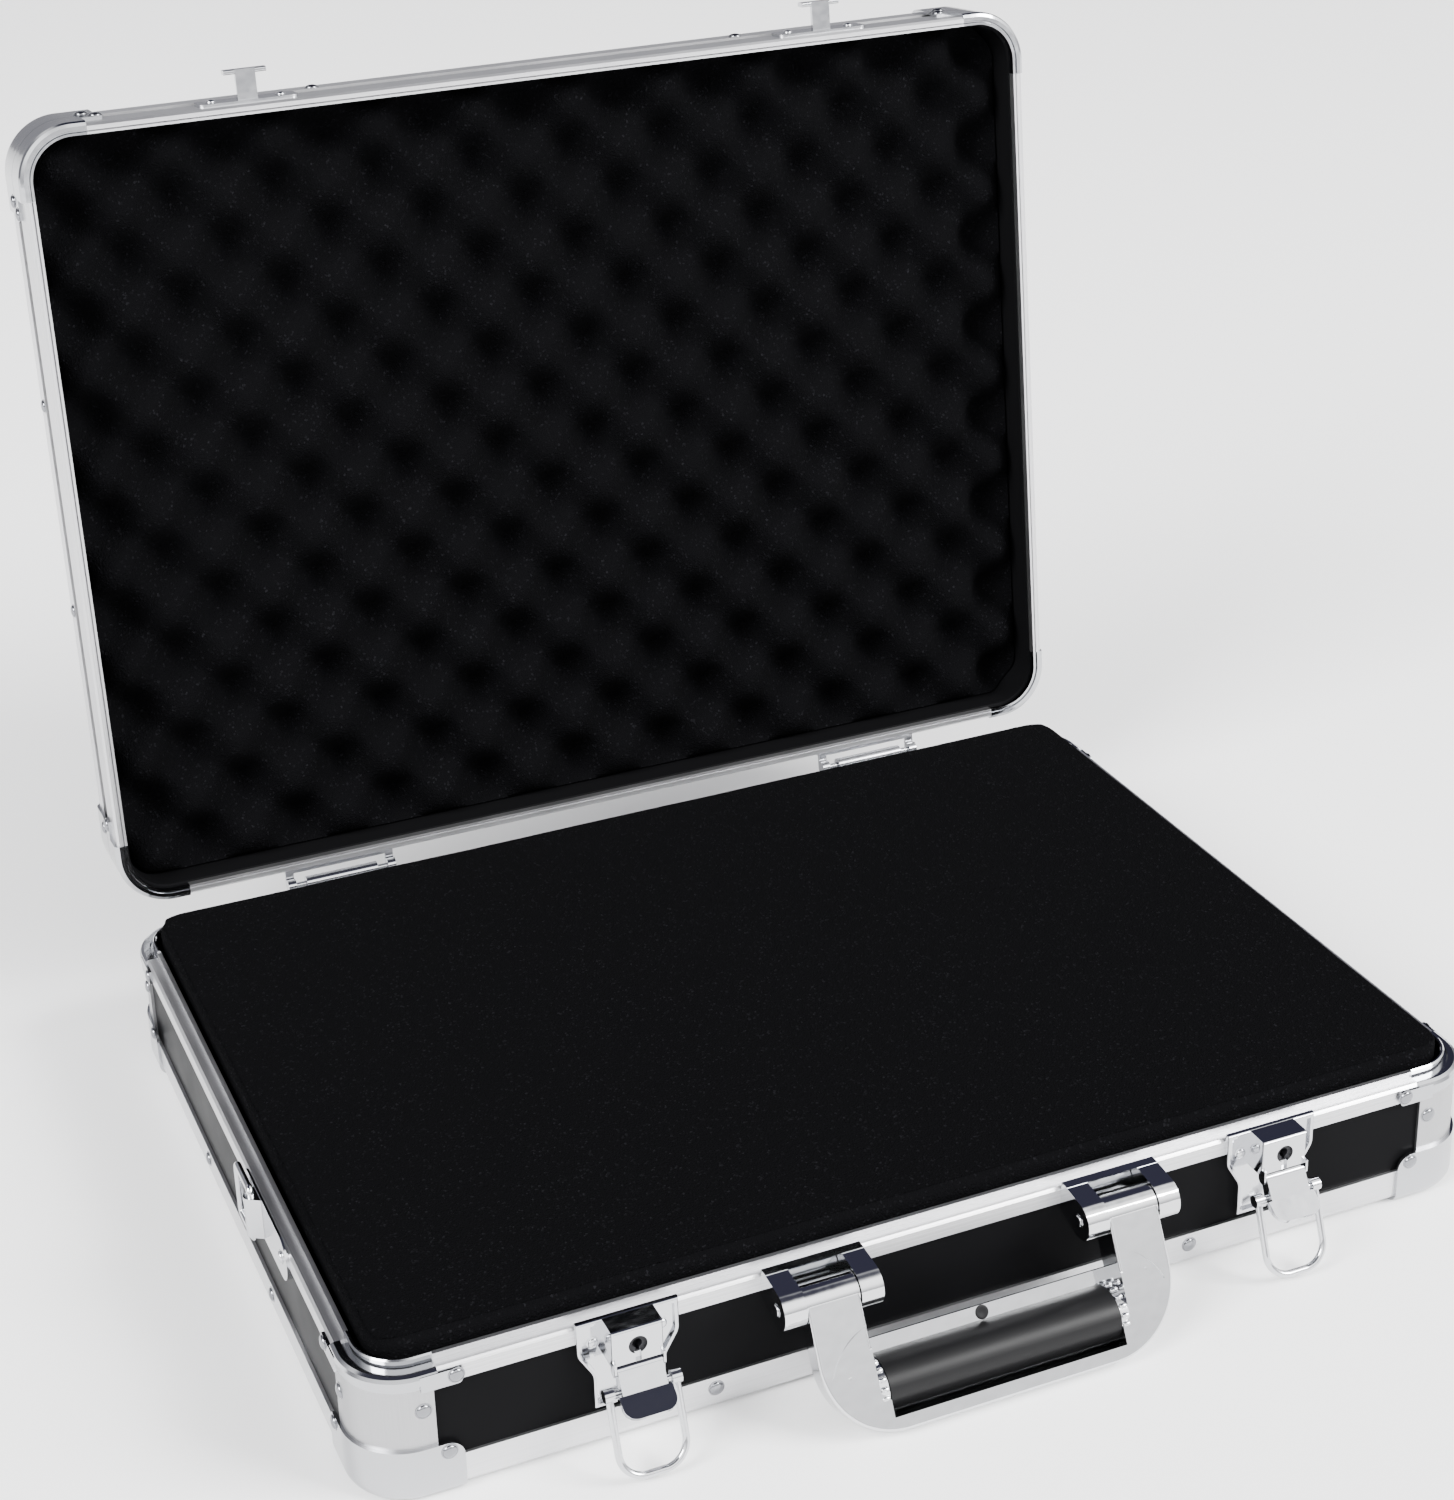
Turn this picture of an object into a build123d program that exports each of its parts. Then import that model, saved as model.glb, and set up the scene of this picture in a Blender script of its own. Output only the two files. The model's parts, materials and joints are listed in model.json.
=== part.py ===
import os
from math import atan, cos, degrees, radians, sin, sqrt

from build123d import *

os.makedirs("parts", exist_ok=True)

# Flight case of black laminate boards in aluminium rims, shown with its lid open.
# Origin: the middle of the underside, on the surface the case stands on. X runs along
# the front, Y to the back where the hinges are, Z up. The lid, the rings and what else
# moves are drawn in their photographed pose.

# Case
case_w = 430.0  # over the rims, along the front
case_d = 320.0  # over the rims, front to back
ledge_z = 50.5  # top of the base rim's ledge, where the lid comes down
seam = 0.3  # gap left between the closed lid and the base
lid_h = 36.0  # from the ledge to the top of the lid's edge trim
lid_open = 95.7  # angle of the open lid
corner_r = 21.0  # upright corners, outside
board = 3.6  # laminated board
skin = 1.2  # wall of the rims and trims
casting = 1.2  # corner pieces lie this much outside the rims and trims

# Rims
rim_web = 1.5  # ledge plate over the board's edge
base_band = 6.5  # outer flange of the base rim, below the ledge
tongue_h = 2.5
tongue_t = 1.6
tongue_fit = 0.4  # side clearance between the lid's foot and the tongue
lid_band = 15.0  # outer flange of the lid rim
foot_h = 3.5  # foot of the lid rim
foot_groove = 0.9
corner_leg = 27.0  # reach of a rim corner piece from the outer face
corner_skirt = 4.2  # its outer flange round the bend, below the ledge
tab_leg = 35.0  # reach of its riveted tabs, which hang lower
tab_h = 6.0
tab_round = 1.6
bead_h = 0.6  # the corner piece's bead over the tongue
bead_groove = 1.5

# Edge trims and corner sheets
edge_h = 13.1  # each leg of the edge trim
edge_bend = 4.0
post_leg = 25.5  # reach of the upright corner sheet
cap_h = 21.0  # height of a corner cap
cap_leg = 34.0
cap_floor = 17.0  # how far a cap reaches under the case
cap_round = 6.0

# Foam
foam_gap = 2.0  # between the base foam and the rim
foam_rise = 6.0  # the base foam stands this much over the tongue
foam_round = 2.5
foam_lift = 0.3  # glue line under each foam
lid_foam_gap = 1.0
egg_columns = 20
egg_rows = 15
egg_h = 12.0
egg_foot = 0.96  # width of a bump's foot as a share of its cell
egg_top = 0.42  # width of its flat top as a share of its foot

# Latches
latch_x = 123.5
plate_w = 36.0
plate_neck = 25.4
plate_top = 52.9
plate_low = 18.0
neck_z = 31.0
shoulder_z = 40.0
plate_t = 1.2
lip_w = 1.6
lip_h = 1.2
lip_round = 0.8
box_w = 18.0
box_out = 11.0  # the lock box's face, out from the rim
box_low = 38.5
box_top = 52.8
box_round = 1.0
cheek_t = 0.8
key_z = 46.0
key_r = 3.25
key_sunk = 1.0
key_slot = 2.2
pin_r = 1.1
pin_fit = 0.05
lever_pin_out = 10.5
lever_pin_z = 37.5
lever_r = 1.9
lever_arm = 7.0  # from the lever's pin to the bail's axle
lever_lean = 21.0  # lean of that arm from straight down
lever_shut = 20.0  # turn from there until the latch is shut
lever_lift = 45.0  # turn the other way, until the lever stands out
lever_tip = (14.2, 8.6)  # tip of the finger tab, along the arm and out from it
tab_t = 1.5
tab_w = 18.6
tab_tip = 4.5  # rounding of the tab's tip
bail_w = 26.2
bail_wire = 2.6
bail_head = 2.3  # radius of the eyes at the wire's ends
bail_head_w = 3.4
bail_len = 29.0  # axle to the middle of the cross bar
bail_lean = 20.2
bail_round = 8.7  # bends beside the cross bar, along the wire's middle
keeper_w = 40.0
keeper_h = 11.5
hook_w = 17.0
hook_neck = 8.0  # the hook's shelf, which passes through the rounded end of the bail
hook_t = 1.8
hook_lip = 2.4
clear = 0.3
lever_w = box_w - 2 * cheek_t - 2 * clear

# Handle
bracket_x = 57.0
bracket_w = 36.2
bracket_top = 52.8
bracket_low = 41.5
bracket_back = 4.0
lug_w = 8.2
lug_r = 7.0
handle_pin_out = 12.8
handle_pin_z = 44.8
handle_pin_r = 2.0
arm_w = 19.2
arm_r = 6.2
arm_wall = 1.8  # the arms are hollow behind
arm_hollow = 22.0
groove_r = 23.3  # arc cut across the front of each arm
groove_w = 0.8
groove_sunk = 0.5
handle_lean = 27.0
handle_len = 48.6
handle_t = 2 * arm_r
handle_round = 27.0
handle_edge = 1.0
handle_heel = 4.6  # rounding of the lower edge at the back
finger_gap = 18.8  # from the pin down to the finger edge
strip_w = 5.0  # what shows of the frame's back over the grip
handle_lip = 5.0
handle_web = 1.4
grip_fit = 0.3
grip_bulge = 11.6
collar_w = 3.2  # toothed collars at the grip's ends
collar_sunk = 0.6

# Hinges
hinge_x = 124.0
hinge_out = 6.5  # axis behind the rim's outer face
knuckle_r = 3.0
hinge_pin_r = 1.2
barrel_w = 31.0
ear_w = 3.5
ear_gap = 4.5  # between the barrel and an ear, where the pin shows
leaf_w = 47.0
leaf_t = 1.5
leaf_h = 18.0
lid_leaf_h = 13.5

# Strap ring
strap_y = -53.0
strap_z = 45.0
strap_len = 58.0
strap_h = 17.0
tube_y = -46.0
tube_h = 16.0
tube_r = 2.6
ring_wire = 1.3
ring_reach = 18.0
ring_round = 2.0

half_w = case_w / 2
half_d = case_d / 2
rim_t = skin + board + skin
tongue_top = ledge_z + tongue_h
foot_w = rim_t - tongue_t - tongue_fit
band_low = ledge_z - base_band
lid_z = ledge_z + seam
lid_top = ledge_z + lid_h
trim_z = casting  # underside of the base's edge trim, which the caps hold up
floor_z = trim_z + skin
inside_z = floor_z + board
roof_z = lid_top - skin - board
hinge_y = half_d + hinge_out
hinge_z = ledge_z


def turned(y, z, centre_y, centre_z, angle):
    """The point (y, z) turned about the centre by angle degrees, seen from +X."""
    c, s = cos(radians(angle)), sin(radians(angle))
    dy, dz = y - centre_y, z - centre_z
    return centre_y + dy * c - dz * s, centre_z + dy * s + dz * c


# The lid is drawn where it lies when shut, and its frame lifts it to the open pose.
base_frame = Plane.XY
lid_frame = Plane(
    origin=(0, *turned(0, 0, hinge_y, hinge_z, -lid_open)),
    x_dir=(1, 0, 0),
    z_dir=(0, sin(radians(lid_open)), cos(radians(lid_open))),
)


def in_frame(frame, plane):
    return Plane(frame.location * plane.location)


def save(node, part):
    part.label = node
    export_step(part, f"parts/{node}.step")


def outline(inset):
    """The case's plan, a rounded rectangle inset from the rims' outer face."""
    return RectangleRounded(case_w - 2 * inset, case_d - 2 * inset, corner_r - inset)


def slab(frame, inset, low, high, rounding, round_top):
    """The plan between two heights, with its top or its bottom edge rounded."""
    with BuildPart() as piece:
        with BuildSketch(frame.offset(low)):
            outline(inset)
        extrude(amount=high - low)
        level = piece.faces().sort_by(Axis(frame.origin, frame.z_dir))[-1 if round_top else 0]
        fillet(level.edges(), rounding)
    return piece.part


def wall_plane(frame, name):
    """A plane across a wall: x inwards from the rim's outer face, y up."""
    x, y, inward_x, inward_y = {
        "front": (0, -half_d, 0, 1),
        "back": (0, half_d, 0, -1),
        "left": (-half_w, 0, 1, 0),
        "right": (half_w, 0, -1, 0),
    }[name]
    across = Plane(origin=(x, y, 0), x_dir=(inward_x, inward_y, 0), z_dir=(inward_y, -inward_x, 0))
    return in_frame(frame, across)


def bar(frame, name, draw, end):
    """The drawn section run along a wall, ending short of the outer faces by end."""
    length = (case_w if name in ("front", "back") else case_d) - 2 * end
    with BuildPart() as piece:
        with BuildSketch(wall_plane(frame, name)):
            with BuildLine():
                draw(lambda inset, z: (inset, z))
            make_face()
        extrude(amount=length / 2, both=True)
    return piece.part


def corner(frame, draw, reach, bend=True):
    """The drawn section carried round the back right corner, with legs out to reach."""
    centre = (half_w - corner_r, half_d - corner_r, 0)
    right = in_frame(frame, Plane(origin=centre, x_dir=(1, 0, 0), z_dir=(0, -1, 0)))
    back = in_frame(frame, Plane(origin=centre, x_dir=(0, 1, 0), z_dir=(1, 0, 0)))
    with BuildPart() as piece:
        with BuildSketch(right) as section:
            with BuildLine():
                draw(lambda inset, z: (corner_r - inset, z))
            make_face()
        extrude(amount=reach - corner_r)
        extrude(Plane(back.location) * section.sketch_local, amount=corner_r - reach)
        if bend:
            revolve(section.sketch, axis=Axis(right.origin, right.y_dir), revolution_arc=90)
    return piece.part


def save_corners(name, frame, piece):
    """Writes a back right corner piece and its three mirror images."""
    front_right = mirror(piece, about=in_frame(frame, Plane.XZ))
    save(f"{name}_back_right", piece)
    save(f"{name}_back_left", mirror(piece, about=Plane.YZ))
    save(f"{name}_front_right", front_right)
    save(f"{name}_front_left", mirror(front_right, about=Plane.YZ))


# Sections, drawn by their distance in from the rims' outer face and their height
def base_rim_section(at):
    inner = rim_t - tongue_t
    Polyline(
        at(0, band_low), at(0, ledge_z - 1.0), at(0.9, ledge_z), at(inner, ledge_z),
        at(inner, tongue_top), at(rim_t, tongue_top), at(rim_t, band_low),
        at(rim_t - skin, band_low), at(rim_t - skin, ledge_z - rim_web),
        at(skin, ledge_z - rim_web), at(skin, band_low), close=True,
    )


def base_corner_section(at):
    inner = rim_t - tongue_t
    groove = inner - bead_groove
    bead = tongue_top + bead_h
    skirt = ledge_z - corner_skirt
    Polyline(
        at(-casting, skirt), at(-casting, ledge_z - 1.8), at(-0.6, ledge_z - 0.6), at(0.6, ledge_z),
        at(groove, ledge_z), at(groove + 0.4, ledge_z - 0.8), at(inner, ledge_z - 0.8),
        at(inner, bead - 0.5), at(inner + 0.5, bead), at(rim_t - 0.5, bead),
        at(rim_t, bead - 0.5), at(rim_t, band_low), at(rim_t - skin, band_low),
        at(rim_t - skin, ledge_z - rim_web), at(skin, ledge_z - rim_web),
        at(skin, band_low), at(0, band_low), at(0, skirt), close=True,
    )


def lid_rim_section(at):
    groove = foot_w - 1.5
    Polyline(
        at(0, lid_z + 1.0), at(0.9, lid_z), at(groove, lid_z),
        at(groove + 0.3, lid_z + foot_groove), at(groove + 0.6, lid_z), at(foot_w, lid_z),
        at(foot_w, lid_z + foot_h), at(skin, lid_z + foot_h),
        at(skin, lid_z + lid_band), at(0, lid_z + lid_band), close=True,
    )


def lid_corner_section(at):
    groove = foot_w - 1.9
    skirt = lid_z + lid_band + bead_h
    trim_low = lid_top - edge_h
    Polyline(
        at(-casting, lid_z + 1.8), at(-0.6, lid_z + 0.6), at(0.6, lid_z), at(groove, lid_z),
        at(groove + 0.3, lid_z + foot_groove), at(groove + 0.7, lid_z + foot_groove),
        at(groove + 1.0, lid_z), at(foot_w, lid_z), at(foot_w, lid_z + foot_h),
        at(skin, lid_z + foot_h), at(skin, trim_low), at(0, trim_low), at(0, skirt),
        at(-casting, skirt), close=True,
    )


def cap_section(at, level, up):
    """A corner cap from the flat of the case at level, standing up or hanging down."""
    bend = level + up * edge_bend
    reach = level + up * (cap_h - casting)
    outer, inner = (edge_bend + casting) / sqrt(2), edge_bend / sqrt(2)
    Polyline(at(0, bend), at(0, reach), at(-casting, reach), at(-casting, bend))
    ThreePointArc(
        at(-casting, bend), at(edge_bend - outer, bend - up * outer),
        at(edge_bend, level - up * casting),
    )
    Polyline(
        at(edge_bend, level - up * casting), at(cap_floor, level - up * casting),
        at(cap_floor, level), at(edge_bend, level),
    )
    ThreePointArc(at(edge_bend, level), at(edge_bend - inner, bend - up * inner), at(0, bend))


def strip_section(outside, inside, low, high):
    """A plain upright strip."""
    def draw(at):
        Polyline(at(outside, low), at(inside, low), at(inside, high), at(outside, high), close=True)
    return draw


def cap(frame, level, up):
    """A back right corner cap with the ends of its legs rounded."""
    with BuildPart() as piece:
        add(corner(frame, lambda at: cap_section(at, level, up), cap_leg))
        rise = Axis(frame.origin, frame.z_dir * up)
        for along, across in ((frame.x_dir, frame.y_dir), (frame.y_dir, frame.x_dir)):
            thick = piece.edges().filter_by(Axis(frame.origin, across))
            end = thick.group_by(Axis(frame.origin, along))[0].sort_by(rise)[-1]
            fillet(end, cap_round)
    return piece.part


def edge_trim(frame, level, up):
    """The bent trim round the case's bottom or top edge."""
    near, far = level, level + up * edge_h
    inner = level + up * skin
    with BuildPart() as piece:
        add(slab(frame, 0, min(near, far), max(near, far), edge_bend, up < 0))
        inside = slab(frame, skin, min(inner, far), max(inner, far), edge_bend - skin, up < 0)
        add(inside, mode=Mode.SUBTRACT)
        with BuildSketch(frame.offset(min(near, far))):
            outline(edge_h)
        extrude(amount=edge_h, mode=Mode.SUBTRACT)
    return piece.part


# Base
save("base_bottom_board", slab(base_frame, skin, floor_z, inside_z, edge_bend - skin, False))
save("base_edge_trim", edge_trim(base_frame, trim_z, 1))
for name in ("front", "back", "left", "right"):
    board_section = strip_section(skin, skin + board, inside_z, ledge_z - rim_web)
    save(f"base_{name}_board", bar(base_frame, name, board_section, corner_r))
    save(f"base_{name}_rim", bar(base_frame, name, base_rim_section, corner_leg))
tab_low = band_low - bead_h
with BuildPart() as tabs:
    add(corner(base_frame, strip_section(-casting, 0, tab_low, tab_low + tab_h), tab_leg, False))
    for along, across in ((Axis.X, Axis.Y), (Axis.Y, Axis.X)):
        ends = tabs.edges().filter_by(across).group_by(along)[0]
        fillet(ends.sort_by(Axis.Z)[0], tab_round)
with BuildPart() as rim_corner:
    add(corner(base_frame, base_corner_section, corner_leg))
    add(tabs.part)
save_corners("base_rim_corner", base_frame, rim_corner.part)
post = corner(base_frame, strip_section(0, skin, trim_z + edge_h, band_low), post_leg)
save_corners("base_corner_sheet", base_frame, post)
save_corners("base_corner_cap", base_frame, cap(base_frame, trim_z, 1))
foam_low = inside_z + foam_lift
foam = slab(base_frame, rim_t + foam_gap, foam_low, tongue_top + foam_rise, foam_round, True)
save("base_foam", foam)

# Lid
save("lid_top_board", slab(lid_frame, skin, roof_z, roof_z + board, edge_bend - skin, True))
save("lid_edge_trim", edge_trim(lid_frame, lid_top, -1))
with BuildPart() as lid_wall:
    with BuildSketch(lid_frame.offset(lid_z + foot_h)):
        outline(skin)
        outline_inside = offset(amount=-board, mode=Mode.PRIVATE)
        add(outline_inside, mode=Mode.SUBTRACT)
    extrude(amount=roof_z - lid_z - foot_h)
save("lid_wall_boards", lid_wall.part)
for name in ("front", "back", "left", "right"):
    save(f"lid_{name}_rim", bar(lid_frame, name, lid_rim_section, corner_leg))
with BuildPart() as lid_corner:
    add(corner(lid_frame, lid_corner_section, corner_leg))
    lid_tab_top = lid_z + lid_band + bead_h
    lid_tab = strip_section(-casting, 0, lid_tab_top - tab_h, lid_tab_top)
    add(corner(lid_frame, lid_tab, tab_leg))
    add(cap(lid_frame, lid_top, -1))
save_corners("lid_corner", lid_frame, lid_corner.part)

# Lid foam: a flat sheet with a chequerboard of tapered bumps
peak_z = tongue_top + foam_rise + 0.4
valley_z = peak_z + egg_h
cell_w = (case_w - 2 * (skin + board + lid_foam_gap)) / egg_columns
cell_d = (case_d - 2 * (skin + board + lid_foam_gap)) / egg_rows
with BuildPart() as lid_foam:
    with BuildSketch(lid_frame.offset(valley_z)):
        outline(skin + board + lid_foam_gap)
    extrude(amount=roof_z - foam_lift - valley_z)
    with BuildSketch(lid_frame.offset(valley_z)):
        for i in range(egg_columns):
            for j in range(egg_rows):
                at_corner = i in (0, egg_columns - 1) and j in (0, egg_rows - 1)
                if (i + j) % 2 or at_corner:
                    continue
                x = (i + 0.5 - egg_columns / 2) * cell_w
                y = (j + 0.5 - egg_rows / 2) * cell_d
                with Locations((x, y)):
                    Rectangle(cell_w * egg_foot, cell_d * egg_foot)
    slope = degrees(atan(cell_d * egg_foot * (1 - egg_top) / 2 / egg_h))
    extrude(amount=-egg_h, taper=slope)
save("lid_foam", lid_foam.part)

# Latches
front_face = Plane.XZ.offset(half_d)  # the rims' outer face, drawn as seen from the front
lever_y, lever_z = -half_d - lever_pin_out, lever_pin_z
arm_lean = radians(lever_lean)
axle_y = lever_y - lever_arm * sin(arm_lean)
axle_z = lever_z - lever_arm * cos(arm_lean)
shut_axle_y, shut_axle_z = turned(axle_y, axle_z, lever_y, lever_z, lever_shut)
catch_lean = 1.9  # inward lean of the shut bail from straight up
catch_y = shut_axle_y + bail_len * sin(radians(catch_lean))
catch_z = shut_axle_z + bail_len * cos(radians(catch_lean))


def bell():
    """Outline of a latch's back plate."""
    with BuildSketch() as plate:
        with BuildLine():
            Polyline(
                (0, plate_low), (plate_neck / 2, plate_low), (plate_neck / 2, neck_z),
                (plate_w / 2, shoulder_z), (plate_w / 2, plate_top), (0, plate_top),
            )
            mirror(about=Plane.YZ)
        make_face()
        low, neck, shoulder, top = plate.vertices().filter_by(lambda v: v.X).group_by(Axis.Y)
        fillet(neck + shoulder, 7)
        fillet(low, 4)
        fillet(top, 1.5)
    return plate.sketch


for name, x in (("left", -latch_x), ("right", latch_x)):
    face = Plane(origin=(x, -half_d, 0), x_dir=(1, 0, 0), z_dir=(0, -1, 0))
    side_on = Plane(origin=(x, 0, 0), x_dir=(0, 1, 0), z_dir=(1, 0, 0))
    with BuildPart() as latch:
        with BuildSketch(face):
            add(bell())
        extrude(amount=plate_t)
        with BuildSketch(face.offset(plate_t)):
            add(bell())
            offset(bell(), amount=-lip_w, mode=Mode.SUBTRACT)
        extrude(amount=lip_h)
        lip = latch.faces().sort_by(Axis.Y)[0]
        fillet(lip.outer_wire().edges(), lip_round)
        with BuildSketch(face):
            add(bell())
            with Locations((0, band_low)):
                Rectangle(plate_w, plate_top, align=(Align.CENTER, Align.MIN), mode=Mode.SUBTRACT)
        extrude(amount=-skin)
        with BuildSketch(face):
            with Locations((0, (box_low + box_top) / 2)):
                Rectangle(box_w, box_top - box_low)
        extrude(amount=box_out)
        fillet(latch.faces().sort_by(Axis.Y)[0].edges(), box_round)
        with BuildSketch(side_on):
            with Locations((lever_y, lever_z)):
                Circle(lever_r + clear)
        extrude(amount=box_w / 2 - cheek_t, both=True, mode=Mode.SUBTRACT)
        for turn in (-1, 1):
            with BuildSketch(side_on.offset(turn * box_w / 2)):
                with Locations((lever_y, lever_z)):
                    Circle(lever_r)
                with Locations((lever_y, lever_z + 2)):
                    Rectangle(2 * lever_r, 4)
            extrude(amount=-turn * cheek_t)
        with BuildSketch(side_on):
            with Locations((lever_y, lever_z)):
                Circle(pin_r)
        extrude(amount=box_w / 2, both=True)
        with BuildSketch(face.offset(box_out)):
            with Locations((0, key_z)):
                Circle(key_r + pin_fit)
        extrude(amount=-8, mode=Mode.SUBTRACT)
        with BuildSketch(face.offset(box_out)):
            with Locations((0, key_z - key_r - 1.2)):
                Rectangle(key_slot, 3.6)
        extrude(amount=-key_sunk, mode=Mode.SUBTRACT)
        with BuildSketch(face):
            with Locations((0, ledge_z - clear)):
                Rectangle(plate_w, 5, align=(Align.CENTER, Align.MIN))
        extrude(amount=0.4, mode=Mode.SUBTRACT)
    save(f"latch_{name}_plate", latch.part)

    with BuildPart() as plug:
        with BuildSketch(face.offset(box_out - key_sunk)):
            with Locations((0, key_z)):
                Circle(key_r)
        extrude(amount=-6)
        with BuildSketch(face.offset(box_out - key_sunk)):
            with Locations((0, key_z - 0.9)):
                Rectangle(1.3, 3.6)
            with Locations((0, key_z)):
                Circle(1.7)
        extrude(amount=-3, mode=Mode.SUBTRACT)
    save(f"latch_{name}_lock_plug", plug.part)

    arm = Plane(
        origin=(x, lever_y, lever_z),
        x_dir=(0, -sin(arm_lean), -cos(arm_lean)),
        z_dir=(-1, 0, 0),
    )
    tip_u, tip_v = lever_tip
    root_u = lever_arm + 2.1
    with BuildPart() as lever:
        with BuildSketch(arm):
            Circle(lever_r)
            with Locations((lever_arm, 0)):
                Circle(lever_r)
            with BuildLine():
                Polyline(
                    (0, -lever_r), (0, lever_r), (lever_arm + 0.6, lever_r + 1.4),
                    (root_u, 0.6), (lever_arm + 0.4, -lever_r), close=True,
                )
            make_face()
        extrude(amount=lever_w / 2, both=True)
        with BuildSketch(arm):
            with BuildLine():
                Polyline(
                    (lever_arm + 0.6, lever_r + 1.4), (tip_u, tip_v),
                    (tip_u + 0.64 * tab_t, tip_v - 0.77 * tab_t), (root_u, 0.6), close=True,
                )
            make_face()
        extrude(amount=tab_w / 2, both=True)
        tab_ends = Axis(arm.origin, arm.x_dir * 0.64 - arm.y_dir * 0.77)
        tips = lever.edges().filter_by(tab_ends).sort_by(Axis(arm.origin, arm.x_dir))[-2:]
        fillet(tips, tab_tip)
        with BuildSketch(arm):
            Circle(pin_r + pin_fit)
            with Locations((lever_arm, 0)):
                Circle(pin_r + pin_fit)
        extrude(amount=lever_w / 2, both=True, mode=Mode.SUBTRACT)
    save(f"latch_{name}_lever", lever.part)

    lean = radians(bail_lean)
    loop = Plane(
        origin=(x, axle_y, axle_z), x_dir=(1, 0, 0), z_dir=(0, -cos(lean), sin(lean))
    )
    axle = Plane(origin=(x, axle_y, axle_z), x_dir=(0, 1, 0), z_dir=(1, 0, 0))
    leg_x, leg = (bail_w - bail_wire) / 2, bail_len - bail_round
    with BuildPart() as bail:
        for turn in (-1, 1):
            leg_top = Plane(
                origin=loop.from_local_coords((turn * leg_x, 0, 0)), z_dir=-loop.y_dir
            )
            bend_at = loop.from_local_coords((turn * (leg_x - bail_round), -leg, 0))
            with BuildSketch(leg_top):
                Circle(bail_wire / 2)
            extrude(amount=leg)
            with BuildSketch(leg_top.offset(leg)):
                Circle(bail_wire / 2)
            revolve(axis=Axis(bend_at, -turn * loop.z_dir), revolution_arc=90)
        with BuildSketch(Plane(origin=loop.from_local_coords((0, -bail_len, 0)), z_dir=(1, 0, 0))):
            Circle(bail_wire / 2)
        extrude(amount=leg_x - bail_round, both=True)
        with BuildSketch(axle):
            Circle(pin_r)
        extrude(amount=bail_w / 2, both=True)
        for turn in (-1, 1):
            with BuildSketch(axle.offset(turn * (leg_x - bail_head_w / 2))):
                Circle(bail_head)
            extrude(amount=turn * bail_head_w)
    save(f"latch_{name}_bail", bail.part)

    # Keeper on the lid, whose hook catches the bail's cross bar
    lid_face = in_frame(lid_frame, face)
    lid_side = in_frame(lid_frame, side_on)
    shelf_z = catch_z - bail_wire / 2 - clear
    lip_y = catch_y - bail_wire / 2 - clear
    with BuildPart() as keeper:
        with BuildSketch(lid_face):
            with Locations((0, lid_z + lid_band - keeper_h / 2 - 0.3)):
                RectangleRounded(keeper_w, keeper_h, 3)
        extrude(amount=plate_t)
        with BuildSketch(lid_side):
            with Locations(((-half_d + lip_y - hook_t) / 2, shelf_z - hook_t / 2)):
                Rectangle(-half_d - lip_y + hook_t, hook_t)
        extrude(amount=hook_neck / 2, both=True)
        with BuildSketch(lid_side):
            with Locations((lip_y - hook_t / 2, shelf_z + (hook_lip - hook_t) / 2)):
                RectangleRounded(hook_t, hook_lip + hook_t, hook_t / 3)
        extrude(amount=hook_w / 2, both=True)
    save(f"latch_{name}_keeper", keeper.part)

# Handle
pin_y = -half_d - handle_pin_out
for name, x in (("left", -bracket_x), ("right", bracket_x)):
    with BuildPart() as bracket:
        for turn in (-1, 1):
            outer = x + turn * bracket_w / 2
            with BuildSketch(Plane.YZ.offset(outer)):
                with Locations((pin_y, handle_pin_z)):
                    Circle(lug_r)
                with Locations((-half_d - 1, (bracket_low + bracket_top) / 2)):
                    Rectangle(2, bracket_top - bracket_low)
                make_hull()
            extrude(amount=-turn * lug_w)
        with BuildSketch(front_face):
            with Locations((x, (bracket_low + bracket_top) / 2)):
                Rectangle(bracket_w, bracket_top - bracket_low)
        extrude(amount=bracket_back)
        with BuildSketch(Plane.YZ.offset(x)):
            with Locations((pin_y, handle_pin_z)):
                Circle(handle_pin_r)
        extrude(amount=bracket_w / 2 - 1, both=True)
        with BuildSketch(front_face):
            with Locations((x, ledge_z - clear)):
                Rectangle(bracket_w, 5, align=(Align.CENTER, Align.MIN))
        extrude(amount=0.4, mode=Mode.SUBTRACT)
    save(f"handle_{name}_bracket", bracket.part)

lean = radians(handle_lean)
handle_plane = Plane(
    origin=(0, pin_y, handle_pin_z), x_dir=(1, 0, 0), z_dir=(0, -cos(lean), sin(lean))
)
handle_side = Plane(
    origin=(0, pin_y, handle_pin_z), x_dir=(0, sin(lean), cos(lean)), z_dir=(1, 0, 0)
)
handle_w = 2 * (bracket_x + arm_w / 2)
inner_w = handle_w - 2 * arm_w
grip_h = handle_len - finger_gap - strip_w - handle_lip
grip_s = grip_h / 2 + handle_lip - handle_len
web_front = handle_web - handle_t / 2


def grip_section(inset):
    """Half an oval standing on the frame's web, as seen from the side."""
    with BuildSketch() as half_oval:
        with Locations((grip_s, web_front)):
            Ellipse(grip_h / 2 - inset, grip_bulge - inset)
        with Locations((-handle_len, web_front)):
            Rectangle(handle_len, grip_bulge, align=(Align.MIN, Align.MAX), mode=Mode.SUBTRACT)
    return half_oval.sketch


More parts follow.
